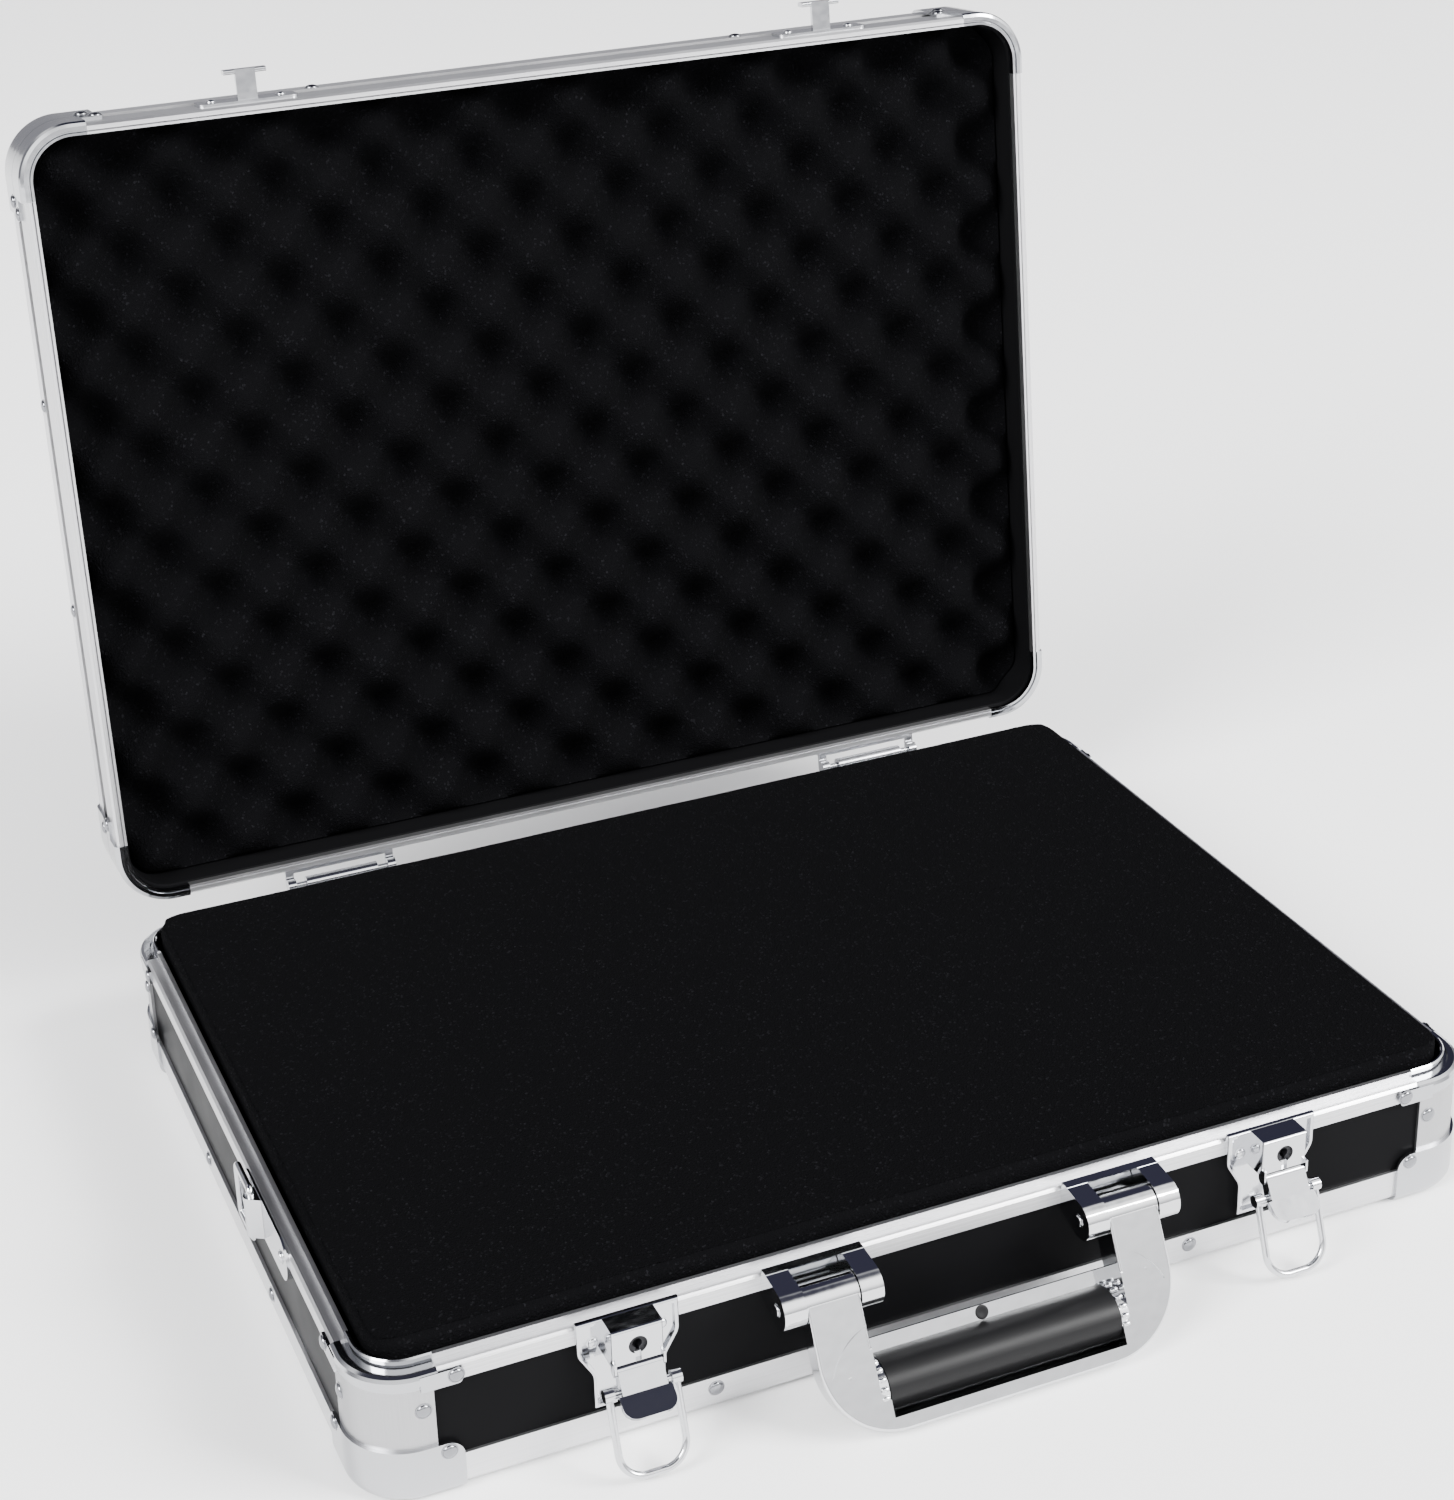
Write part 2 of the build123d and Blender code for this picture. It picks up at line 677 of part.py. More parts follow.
with BuildPart() as handle:
    with BuildSketch(handle_plane.offset(-handle_t / 2)) as shape:
        with Locations((0, -handle_len / 2)):
            Rectangle(handle_w, handle_len)
        fillet(shape.vertices().group_by(Axis.Y)[0], handle_round)
        with Locations((0, -finger_gap / 2)):
            Rectangle(inner_w, finger_gap, mode=Mode.SUBTRACT)
    extrude(amount=handle_t)
    by_depth = handle.faces().sort_by(Axis(handle_plane.origin, handle_plane.z_dir))
    fillet(by_depth[-1].edges(), handle_edge)
    heel = handle.faces().sort_by(Axis(handle_plane.origin, handle_plane.z_dir))[0]
    fillet(heel.edges().sort_by(Axis(handle_plane.origin, handle_plane.y_dir))[0], handle_heel)
    with BuildSketch(handle_plane.offset(web_front)):
        window_low, window_half = handle_lip - handle_len, inner_w / 2
        narrow = window_half - collar_w
        with BuildLine():
            Polyline(
                (-narrow, window_low), (-narrow, window_low + 6), (-window_half, window_low + 9),
                (-window_half, -finger_gap), (window_half, -finger_gap),
                (window_half, window_low + 9), (narrow, window_low + 6), (narrow, window_low),
                close=True,
            )
        make_face()
    extrude(amount=handle_t, mode=Mode.SUBTRACT)
    for turn in (-1, 1):
        with BuildSketch(handle_side.offset(turn * handle_w / 2)):
            Circle(arm_r)
        extrude(amount=-turn * arm_w)
        with BuildSketch(handle_side.offset(turn * inner_w / 2)):
            add(grip_section(collar_sunk))
        extrude(amount=-turn * collar_w)
        with BuildSketch(handle_plane.offset(-handle_t / 2)):
            with Locations((turn * (inner_w / 2 + arm_wall), -arm_r - arm_wall)):
                hollow_w = arm_w - 2 * arm_wall - 2.5
                align = (Align.MIN if turn > 0 else Align.MAX, Align.MAX)
                Rectangle(hollow_w, arm_hollow, align=align)
        extrude(amount=handle_t - arm_wall, mode=Mode.SUBTRACT)
        with BuildSketch(handle_plane.offset(handle_t / 2)):
            with Locations((turn * (inner_w / 2 - 6), -34.1)):
                Circle(groove_r + groove_w / 2)
                Circle(groove_r - groove_w / 2, mode=Mode.SUBTRACT)
            with Locations((turn * (inner_w / 2 + (arm_w - 3.3) / 2), -18)):
                Rectangle(arm_w - 3.3, 15.2, mode=Mode.INTERSECT)
        extrude(amount=-groove_sunk, mode=Mode.SUBTRACT)
    with BuildSketch(handle_side):
        Circle(handle_pin_r + pin_fit)
    extrude(amount=handle_w / 2, both=True, mode=Mode.SUBTRACT)
save("handle_frame", handle.part)

with BuildPart() as grip:
    with BuildSketch(handle_side):
        add(grip_section(grip_fit))
    extrude(amount=inner_w / 2 - collar_w - grip_fit, both=True)
save("handle_grip", grip.part)

# Hinges
back_face = Plane(origin=(0, half_d, 0), x_dir=(-1, 0, 0), z_dir=(0, 1, 0))
for name, x in (("left", -hinge_x), ("right", hinge_x)):
    with BuildPart() as leaf:
        with BuildSketch(back_face):
            with Locations((-x, ledge_z - 1.5 - leaf_h / 2)):
                RectangleRounded(leaf_w, leaf_h, 3)
        extrude(amount=leaf_t)
        with BuildSketch(back_face):
            with Locations((-x, (ledge_z - 1.5 - leaf_h + band_low) / 2)):
                Rectangle(leaf_w - 6, band_low - (ledge_z - 1.5 - leaf_h))
        extrude(amount=-skin)
        with BuildSketch(Plane.YZ.offset(x)):
            with Locations((hinge_y, hinge_z)):
                Circle(knuckle_r)
            with Locations((half_d, hinge_z - knuckle_r)):
                Rectangle(hinge_out, leaf_t, align=Align.MIN)
        extrude(amount=barrel_w / 2, both=True)
        with BuildSketch(Plane.YZ.offset(x)):
            with Locations((hinge_y, hinge_z)):
                Circle(hinge_pin_r + pin_fit)
        extrude(amount=barrel_w / 2, both=True, mode=Mode.SUBTRACT)
    save(f"hinge_{name}_base_leaf", leaf.part)

    with BuildPart() as leaf:
        with BuildSketch(in_frame(lid_frame, back_face)):
            with Locations((-x, lid_z + 1.2 + lid_leaf_h / 2)):
                RectangleRounded(leaf_w, lid_leaf_h, 3)
        extrude(amount=leaf_t)
        for turn in (-1, 1):
            inner = x + turn * (barrel_w / 2 + ear_gap)
            with BuildSketch(in_frame(lid_frame, Plane.YZ.offset(inner))):
                with Locations((hinge_y, hinge_z)):
                    Circle(knuckle_r)
                with Locations((half_d, hinge_z + knuckle_r)):
                    Rectangle(hinge_out, leaf_t, align=(Align.MIN, Align.MAX))
            extrude(amount=turn * ear_w)
        with BuildSketch(in_frame(lid_frame, Plane.YZ.offset(x))):
            with Locations((hinge_y, hinge_z)):
                Circle(hinge_pin_r)
        extrude(amount=barrel_w / 2 + ear_gap + ear_w, both=True)
    save(f"hinge_{name}_lid_leaf", leaf.part)

# Strap ring on the left side, folded back in its upright tube
ring_x = half_w + plate_t + tube_r
ring_h = tube_h + 2 * ring_round + 2 * clear
with BuildPart() as strap:
    with BuildSketch(Plane.YZ.offset(half_w)) as plate:
        with Locations((strap_y, strap_z)):
            SlotOverall(strap_len, strap_h)
    extrude(amount=plate_t)
    with BuildSketch(Plane.YZ.offset(half_w)):
        add(plate.sketch_local)
        with Locations((strap_y, band_low)):
            Rectangle(strap_len, strap_h, align=(Align.CENTER, Align.MIN), mode=Mode.SUBTRACT)
    extrude(amount=-skin)
    with BuildSketch(Plane.XY.offset(strap_z - tube_h / 2)):
        with Locations((ring_x, tube_y)):
            Circle(tube_r)
        with Locations((half_w + plate_t, tube_y)):
            Rectangle(0.2, 3.6 * tube_r, align=(Align.MIN, Align.CENTER))
        make_hull()
        with Locations((ring_x, tube_y)):
            Circle(ring_wire + pin_fit, mode=Mode.SUBTRACT)
    extrude(amount=tube_h)
    with BuildSketch(Plane.YZ.offset(half_w)):
        with Locations((strap_y, ledge_z - clear)):
            Rectangle(strap_len, strap_h, align=(Align.CENTER, Align.MIN))
    extrude(amount=0.4, mode=Mode.SUBTRACT)
with BuildPart() as ring:
    with BuildSketch(Plane.YZ.offset(ring_x), mode=Mode.PRIVATE) as loop:
        with Locations((tube_y + ring_reach / 2, strap_z)):
            RectangleRounded(ring_reach, ring_h, ring_round)
    wire = loop.sketch.face().outer_wire()
    with BuildSketch(Plane(origin=wire @ 0, z_dir=wire % 0)):
        Circle(ring_wire)
    sweep(path=wire)
for node, piece in (("plate", strap.part), ("ring", ring.part)):
    save(f"strap_left_{node}", mirror(piece, about=Plane.YZ))
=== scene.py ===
"""Flight case with its lid open: finishes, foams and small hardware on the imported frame."""
import json
import math

import bmesh
import bpy
from mathutils import Matrix, Vector, noise


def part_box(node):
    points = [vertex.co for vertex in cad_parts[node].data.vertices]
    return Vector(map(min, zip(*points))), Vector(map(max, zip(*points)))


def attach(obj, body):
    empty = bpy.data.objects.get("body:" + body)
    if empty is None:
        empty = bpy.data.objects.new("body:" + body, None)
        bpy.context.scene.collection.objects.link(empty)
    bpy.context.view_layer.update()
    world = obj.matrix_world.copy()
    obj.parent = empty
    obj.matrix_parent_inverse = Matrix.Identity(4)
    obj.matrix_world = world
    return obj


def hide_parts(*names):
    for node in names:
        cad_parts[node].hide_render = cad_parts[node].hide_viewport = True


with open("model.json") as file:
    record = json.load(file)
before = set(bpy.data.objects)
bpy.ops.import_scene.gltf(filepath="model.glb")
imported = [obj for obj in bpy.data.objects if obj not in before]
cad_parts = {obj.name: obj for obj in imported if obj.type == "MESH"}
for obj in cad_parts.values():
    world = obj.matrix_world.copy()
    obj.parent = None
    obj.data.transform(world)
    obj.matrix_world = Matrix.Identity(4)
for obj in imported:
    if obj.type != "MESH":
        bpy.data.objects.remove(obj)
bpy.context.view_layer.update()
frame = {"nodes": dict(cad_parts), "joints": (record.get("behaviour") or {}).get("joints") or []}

bl_info = {
    "name": "Flight Case",
    "version": (1, 0, 0),
    "blender": (4, 5, 0),
    "location": "View3D > Sidebar > Flight Case",
    "description": "Dresses a flight case with its foams, its rivets and the finish of every part",
    "category": "Object",
}

MM = 0.001
SIDES = ("left", "right")
JOINTS = {joint["name"]: joint for joint in frame["joints"]}


def box_mm(node):
    """A solid's lowest and highest corner, in millimetres."""
    return [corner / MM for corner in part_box(node)]


def pivot_mm(joint):
    """A point on a joint's axis, in millimetres."""
    return Vector(JOINTS[joint]["pos_m"]) / MM


def middle_x(node):
    """The middle of a solid from side to side, in millimetres."""
    low, high = box_mm(node)
    return (low.x + high.x) / 2


# outer faces of the rims, and how far the corners' tabs and caps stand out of them
HALF_W, HALF_D, _ = box_mm("base_edge_trim")[1]
TAB_OUT = box_mm("base_corner_cap_back_right")[1].x - HALF_W
# the lid is drawn shut, and its foam and rivets are then turned open with it
HINGE = pivot_mm("lid_hinge")
LID_ANGLE = math.radians(JOINTS["lid_hinge"]["range_deg"][1])
LID_TOP = 87.7
# the handle's joint ends where the handle is level
HANDLE_PIN = pivot_mm("handle_swing")
HANDLE_LEAN = math.radians(90 - JOINTS["handle_swing"]["range_deg"][1])

# on the corners: distance from the case's corner, height, and how far the metal stands out
CORNER_RIVETS = {
    "base": ((33.0, 46.9, TAB_OUT), (21.6, 35.5, 0.0), (28.8, 17.8, TAB_OUT)),
    "lid": ((33.0, 63.4, TAB_OUT), (29.0, 71.2, TAB_OUT)),
}
# on top of the lid's corners: distance from both rims
TOP_RIVET = 11.5
# on the edge trims: height, places along the front and back, and places along the sides
TRIM_RIVETS = {
    "base": (9.8, (-92.3, 92.3), (-46.0, 46.0)),
    "lid": (77.0, (-92.5, 92.5), (-48.0, 38.0)),
}


def linear(code):
    """An sRGB hex colour as the linear values that a shader takes."""
    parts = [int(code[i:i + 2], 16) / 255 for i in (1, 3, 5)]
    return [c / 12.92 if c <= 0.04045 else ((c + 0.055) / 1.055) ** 2.4 for c in parts]


class CaseSizes(bpy.types.PropertyGroup):
    """Sizes that only the visual model has."""

    pit_depth: bpy.props.FloatProperty(
        name="Foam pit depth", description="From a peak of the egg-crate foam to a pit",
        default=17.5 * MM, min=4.0 * MM, max=19.0 * MM, unit="LENGTH",
    )
    foam_mesh: bpy.props.FloatProperty(
        name="Foam mesh", description="Size of a mesh cell on the foams",
        default=1.9 * MM, min=1.5 * MM, max=6.0 * MM, unit="LENGTH",
    )
    foam_edge: bpy.props.FloatProperty(
        name="Foam edge", description="Radius of the base foam's upper edge",
        default=3.0 * MM, min=1.0 * MM, max=6.0 * MM, unit="LENGTH",
    )
    rivet_radius: bpy.props.FloatProperty(
        name="Rivet radius", description="Radius of a rivet's domed head",
        default=2.5 * MM, min=1.5 * MM, max=3.5 * MM, unit="LENGTH",
    )
    rivet_height: bpy.props.FloatProperty(
        name="Rivet height", description="Height of a rivet's head over the metal",
        default=1.2 * MM, min=0.4 * MM, max=1.5 * MM, unit="LENGTH",
    )


class CaseColours(bpy.types.PropertyGroup):
    """Colours that a user would change."""

    panel: bpy.props.FloatVectorProperty(
        name="Panels", description="Laminate of the boards", subtype="COLOR",
        default=linear("#0c0c0d"), min=0, max=1,
    )
    foam: bpy.props.FloatVectorProperty(
        name="Foam", description="Both foams", subtype="COLOR",
        default=linear("#060607"), min=0, max=1,
    )
    grip: bpy.props.FloatVectorProperty(
        name="Grip", description="Moulding round the handle", subtype="COLOR",
        default=linear("#0c0c0d"), min=0, max=1,
    )
    trim: bpy.props.FloatVectorProperty(
        name="Trims", description="Anodised rims and edge trims", subtype="COLOR",
        default=linear("#d6d6d8"), min=0, max=1,
    )


def add(tree, kind, inputs=None, **settings):
    """Adds a node. inputs holds a value, or a socket to link, for each input."""
    node = tree.nodes.new(kind)
    for name, value in settings.items():
        setattr(node, name, value)
    for name, value in (inputs or {}).items():
        if isinstance(value, bpy.types.NodeSocket):
            tree.links.new(value, node.inputs[name])
        else:
            node.inputs[name].default_value = value
    return node


def material(name, **shader):
    """A new material with one shader, and its object coordinates in metres."""
    made = bpy.data.materials.new(name)
    made.use_nodes = True
    tree = made.node_tree
    tree.nodes.clear()
    coordinates = add(tree, "ShaderNodeTexCoord").outputs["Object"]
    surface = add(tree, "ShaderNodeBsdfPrincipled", shader)
    add(tree, "ShaderNodeOutputMaterial", {"Surface": surface.outputs["BSDF"]})
    return made, tree, surface, coordinates


def colour_of(name):
    """A colour that the user sets, as a shader takes it."""
    return (*getattr(bpy.context.scene.flight_case_colours, name), 1.0)


def shaded(colour, share):
    """A colour darkened by a share below 1, or lightened by one above it."""
    return (*(min(1.0, channel * share) for channel in colour[:3]), 1.0)


def laminate():
    """Melamine laminate pressed with a fine grain: near black face on, a grey sheen at a slant."""
    made, tree, surface, at = material(
        "Black melamine laminate",
        **{"Base Color": colour_of("panel"), "IOR": 1.5, "Specular IOR Level": 0.015},
    )
    # grain of the press plate, 0.7 mm
    grain = add(
        tree, "ShaderNodeTexNoise", {"Vector": at, "Scale": 1 / (0.714 * MM), "Detail": 3.0}
    )
    bump = add(
        tree, "ShaderNodeBump",
        {"Height": grain.outputs["Fac"], "Strength": 0.2, "Distance": 0.04 * MM},
    )
    # handling marks, 30 mm wide
    marks = add(
        tree, "ShaderNodeTexNoise", {"Vector": at, "Scale": 1 / (30.3 * MM), "Detail": 4.0}
    )
    rough = add(
        tree, "ShaderNodeMapRange",
        {"Value": marks.outputs["Fac"], "To Min": 0.26, "To Max": 0.38},
    )
    tree.links.new(bump.outputs["Normal"], surface.inputs["Normal"])
    tree.links.new(rough.outputs["Result"], surface.inputs["Roughness"])
    return made


def anodised(name, axis, on_lid, lowest):
    """Anodised aluminium, extruded: bright satin, with die lines along its length.

    axis is the direction across the length, besides the upright one, and lowest the share of
    the colour that is left in the lines."""
    made, tree, surface, at = material(name, Metallic=1.0)
    if on_lid:
        shut = add(tree, "ShaderNodeMapping", {"Vector": at, "Rotation": (LID_ANGLE, 0, 0)})
        at = shut.outputs["Vector"]
    split = add(tree, "ShaderNodeSeparateXYZ", {"Vector": at})
    across = split.outputs["Z"]
    if axis:
        both = add(tree, "ShaderNodeMath", {0: split.outputs["Z"], 1: split.outputs[axis]})
        across = both.outputs["Value"]
    flat = add(tree, "ShaderNodeCombineXYZ", {"X": across})
    # die lines 0.8 mm apart, coarser than the real 0.1 mm so that they show
    lines = add(
        tree, "ShaderNodeTexNoise",
        {"Vector": flat.outputs["Vector"], "Scale": 1 / (0.8 * MM), "Detail": 2.0},
    )
    bump = add(
        tree, "ShaderNodeBump",
        {"Height": lines.outputs["Fac"], "Strength": 0.5, "Distance": 0.08 * MM},
    )
    band = add(
        tree, "ShaderNodeMapRange",
        {"Value": lines.outputs["Fac"], "From Min": 0.35, "From Max": 0.65},
    )
    bright = colour_of("trim")
    shade = add(
        tree, "ShaderNodeMixRGB",
        {"Fac": band.outputs["Result"], "Color1": shaded(bright, lowest), "Color2": bright},
    )
    # clouds of the etching bath, 22 mm wide
    cloud = add(
        tree, "ShaderNodeTexNoise", {"Vector": at, "Scale": 1 / (22.2 * MM), "Detail": 3.0}
    )
    rough = add(
        tree, "ShaderNodeMapRange",
        {"Value": cloud.outputs["Fac"], "To Min": 0.3, "To Max": 0.42},
    )
    tree.links.new(shade.outputs["Color"], surface.inputs["Base Color"])
    tree.links.new(bump.outputs["Normal"], surface.inputs["Normal"])
    tree.links.new(rough.outputs["Result"], surface.inputs["Roughness"])
    return made


def plated(name, code, low, high, ripple):
    """Chrome or nickel plate: a hard mirror, faintly uneven from the metal under it.

    low and high are the ends of its roughness, and ripple is the strength of the waves."""
    made, tree, surface, at = material(name, **{"Base Color": (*linear(code), 1), "Metallic": 1.0})
    # 6 mm waves left by casting and polishing
    wave = add(
        tree, "ShaderNodeTexNoise", {"Vector": at, "Scale": 1 / (6.25 * MM), "Detail": 1.0}
    )
    bump = add(
        tree, "ShaderNodeBump",
        {"Height": wave.outputs["Fac"], "Strength": ripple, "Distance": 0.2 * MM},
    )
    # haze of fine wear in patches of 17 mm
    haze = add(
        tree, "ShaderNodeTexNoise", {"Vector": at, "Scale": 1 / (16.7 * MM), "Detail": 4.0}
    )
    rough = add(
        tree, "ShaderNodeMapRange",
        {"Value": haze.outputs["Fac"], "To Min": low, "To Max": high},
    )
    tree.links.new(bump.outputs["Normal"], surface.inputs["Normal"])
    tree.links.new(rough.outputs["Result"], surface.inputs["Roughness"])
    return made


def brushed():
    """Aluminium sheet brushed upright before bending: a pale satin with fine streaks."""
    made, tree, surface, at = material("Brushed aluminium sheet", Metallic=1.0)
    # streaks 0.4 mm apart and 15 mm long
    apart, length = 1 / (0.4 * MM), 1 / (15.4 * MM)
    long = add(tree, "ShaderNodeMapping", {"Vector": at, "Scale": (apart, apart, length)})
    streaks = add(
        tree, "ShaderNodeTexNoise",
        {"Vector": long.outputs["Vector"], "Scale": 1.0, "Detail": 3.0},
    )
    bump = add(
        tree, "ShaderNodeBump",
        {"Height": streaks.outputs["Fac"], "Strength": 0.3, "Distance": 0.03 * MM},
    )
    bright = (*linear("#b0b0b2"), 1)
    shade = add(
        tree, "ShaderNodeMixRGB",
        {"Fac": streaks.outputs["Fac"], "Color1": shaded(bright, 0.8), "Color2": bright},
    )
    rough = add(
        tree, "ShaderNodeMapRange",
        {"Value": streaks.outputs["Fac"], "To Min": 0.28, "To Max": 0.46},
    )
    tree.links.new(shade.outputs["Color"], surface.inputs["Base Color"])
    tree.links.new(bump.outputs["Normal"], surface.inputs["Normal"])
    tree.links.new(rough.outputs["Result"], surface.inputs["Roughness"])
    return made


def foam_rubber():
    """Open-cell polyurethane foam: dead matt and nearly black, with torn cells as pale specks."""
    made, tree, surface, at = material(
        "Open-cell polyurethane foam", **{"Roughness": 1.0, "Specular IOR Level": 0.02}
    )
    # cells of 0.8 mm with fuzz of 1.4 mm over them, coarser than the real 0.4 mm so that they show
    cells = add(tree, "ShaderNodeTexVoronoi", {"Vector": at, "Scale": 1 / (0.8 * MM)})
    fuzz = add(
        tree, "ShaderNodeTexNoise", {"Vector": at, "Scale": 1 / (1.43 * MM), "Detail": 4.0}
    )
    height = add(
        tree, "ShaderNodeMath", {0: cells.outputs["Distance"], 1: fuzz.outputs["Fac"]}
    )
    bump = add(
        tree, "ShaderNodeBump",
        {"Height": height.outputs["Value"], "Strength": 0.7, "Distance": 0.5 * MM},
    )
    # each cell draws a shade, and the palest are torn open
    torn = add(
        tree, "ShaderNodeMapRange",
        {"Value": cells.outputs["Color"], "From Min": 0.8, "From Max": 1.0},
    )
    base = colour_of("foam")
    mix = add(
        tree, "ShaderNodeMixRGB",
        {"Fac": torn.outputs["Result"], "Color1": base, "Color2": shaded(base, 4.0)},
    )
    tree.links.new(mix.outputs["Color"], surface.inputs["Base Color"])
    tree.links.new(bump.outputs["Normal"], surface.inputs["Normal"])
    return made


def moulded(name, base, low, high):
    """Moulded PVC, black oxide on steel, or a near black that is painted shade: satin black with a
    fine leathery grain.
    """
    made, tree, surface, at = material(
        name, **{"Base Color": base, "IOR": 1.52, "Specular IOR Level": 0.18}
    )
    # grain of 0.5 mm
    grain = add(tree, "ShaderNodeTexVoronoi", {"Vector": at, "Scale": 1 / (0.5 * MM)})
    bump = add(
        tree, "ShaderNodeBump",
        {"Height": grain.outputs["Distance"], "Strength": 0.12, "Distance": 0.1 * MM},
    )
    # places rubbed smoother, 11 mm wide
    cloud = add(
        tree, "ShaderNodeTexNoise", {"Vector": at, "Scale": 1 / (11.1 * MM), "Detail": 3.0}
    )
    rough = add(
        tree, "ShaderNodeMapRange",
        {"Value": cloud.outputs["Fac"], "To Min": low, "To Max": high},
    )
    tree.links.new(bump.outputs["Normal"], surface.inputs["Normal"])
    tree.links.new(rough.outputs["Result"], surface.inputs["Roughness"])
    return made


# Placements: each carries a drawing in millimetres to the case in metres
CASE = Matrix.Scale(MM, 4)


def lid_placement():
    """For what is drawn on the shut lid."""
    pivot = Matrix.Translation(HINGE)
    return CASE @ pivot @ Matrix.Rotation(-LID_ANGLE, 4, "X") @ pivot.inverted()


def handle_placement():
    """For what is drawn in the handle's own plane: X across, Y up and Z out, from its pin."""
    out = Vector((0, -math.cos(HANDLE_LEAN), math.sin(HANDLE_LEAN)))
    up = Vector((0, math.sin(HANDLE_LEAN), math.cos(HANDLE_LEAN)))
    turn = Matrix((Vector((1, 0, 0)), up, out)).transposed().to_4x4()
    return CASE @ Matrix.Translation(HANDLE_PIN) @ turn


def facing(at, normal):
    """A placement whose Z points along normal, at a point."""
    turn = Vector(normal).to_track_quat("Z", "Y").to_matrix().to_4x4()
    return Matrix.Translation(at) @ turn


def piece(name, bm, body, finish, placement=CASE, sharp=35.0):
    """A bmesh drawn in millimetres becomes a finished piece that rides on a body."""
    bmesh.ops.transform(bm, matrix=placement, verts=bm.verts)
    mesh = bpy.data.meshes.new(name)
    bm.to_mesh(mesh)
    bm.free()
    mesh.materials.append(finish)
    mesh.shade_smooth()
    mesh.set_sharp_from_angle(angle=math.radians(sharp))
    made = bpy.data.objects.new(name, mesh)
    bpy.context.scene.collection.objects.link(made)
    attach(made, body)
    return made


def finish_nodes(names, finish):
    """Gives solids of the frame a finish."""
    for name in names:
        materials = frame["nodes"][name].data.materials
        materials.clear()
        materials.append(finish)


def turned(bm, profile, place, steps=24):
    """Spins a profile of radius and height, from pole to pole, round the placement's Z."""
    earlier = set(bm.verts)
    verts = [bm.verts.new(place @ Vector((radius, 0, z))) for radius, z in profile]
    edges = [bm.edges.new(pair) for pair in zip(verts, verts[1:])]
    axis = place.to_3x3() @ Vector((0, 0, 1))
    bmesh.ops.spin(
        bm, geom=verts + edges, cent=place.translation, axis=axis, angle=math.tau,
        steps=steps, use_merge=True,
    )
    made = [vert for vert in bm.verts if vert not in earlier]
    bmesh.ops.remove_doubles(bm, verts=made, dist=0.001)
    faces = {face for vert in bm.verts if vert not in earlier for face in vert.link_faces}
    bmesh.ops.recalc_face_normals(bm, faces=list(faces))


def rivet(bm, at, normal, radius, height):
    """A domed head on a thin flange."""
    foot, flange, lip = -0.2, radius + 0.45, 0.12
    shoulder, steps = 0.2, 6
    dome = [
        (radius * math.cos(angle), shoulder + (height - shoulder) * math.sin(angle))
        for angle in (step * math.pi / 2 / steps for step in range(steps))
    ]
    profile = [(0.0, foot), (flange, foot), (flange, lip), *dome, (0.0, height)]
    turned(bm, profile, facing(at, normal))


def rivet_row(name, places, normal, radius, height, body, finish, placement=CASE):
    """One piece of like rivets that all face one way."""
    bm = bmesh.new()
    for at in places:
        rivet(bm, at, normal, radius, height)
    piece(name, bm, body, finish, placement)


def rounded(x, y, half_w, half_d, radius):
    """Draws the corners of a grid in to a rounded rectangle."""
    u, v = (abs(x) - half_w + radius) / radius, (abs(y) - half_d + radius) / radius
    if u <= 0 or v <= 0:
        return x, y
    pull_u, pull_v = u * math.sqrt(1 - v * v / 2), v * math.sqrt(1 - u * u / 2)
    x = math.copysign(half_w - radius + radius * pull_u, x)
    y = math.copysign(half_d - radius + radius * pull_v, y)
    return x, y


def foam_grid(half_w, half_d, radius):
    """A fine sheet with rounded corners, in the XY plane."""
    cell = bpy.context.scene.flight_case_sizes.foam_mesh / MM
    bm = bmesh.new()
    bmesh.ops.create_grid(
        bm, x_segments=round(2 * half_w / cell), y_segments=round(2 * half_d / cell), size=1.0
    )
    bmesh.ops.scale(bm, vec=(half_w, half_d, 1), verts=bm.verts)
    for vert in bm.verts:
        vert.co.x, vert.co.y = rounded(vert.co.x, vert.co.y, half_w, half_d, radius)
    return bm


def give_depth(bm, level):
    """Carries the sheet's border to a level and closes it there. Returns the sheet's own border."""
    border = [edge for edge in bm.edges if edge.is_boundary]
    drawn = bmesh.ops.extrude_edge_only(bm, edges=border)["geom"]
    for vert in [item for item in drawn if isinstance(item, bmesh.types.BMVert)]:
        vert.co.z = level
    far = [edge for edge in bm.edges if edge.is_boundary]
    bmesh.ops.contextual_create(bm, geom=far)
    bmesh.ops.recalc_face_normals(bm, faces=bm.faces)
    return border


class FLIGHTCASE_OT_boards(bpy.types.Operator):
    """Give the boards their black laminate"""

    bl_idname = "flight_case.boards"
    bl_label = "Boards"

    def execute(self, context):
        boards = [name for name in frame["nodes"] if name.endswith(("board", "boards"))]
        finish_nodes(boards, laminate())
        return {"FINISHED"}


class FLIGHTCASE_OT_rims(bpy.types.Operator):
    """Give the rims and edge trims their anodised finish"""

    bl_idname = "flight_case.rims"
    bl_label = "Rims and trims"

    def execute(self, context):
        for part, on_lid in (("base", False), ("lid", True)):
            for where, axis, lowest, names in (
                ("front and back", "Y", 0.78, ("front_rim", "back_rim")),
                ("sides", "X", 0.78, ("left_rim", "right_rim")),
                ("edge trim", None, 0.92, ("edge_trim",)),
            ):
                finish = anodised(f"Anodised aluminium, {part} {where}", axis, on_lid, lowest)
                finish_nodes([f"{part}_{name}" for name in names], finish)
        return {"FINISHED"}


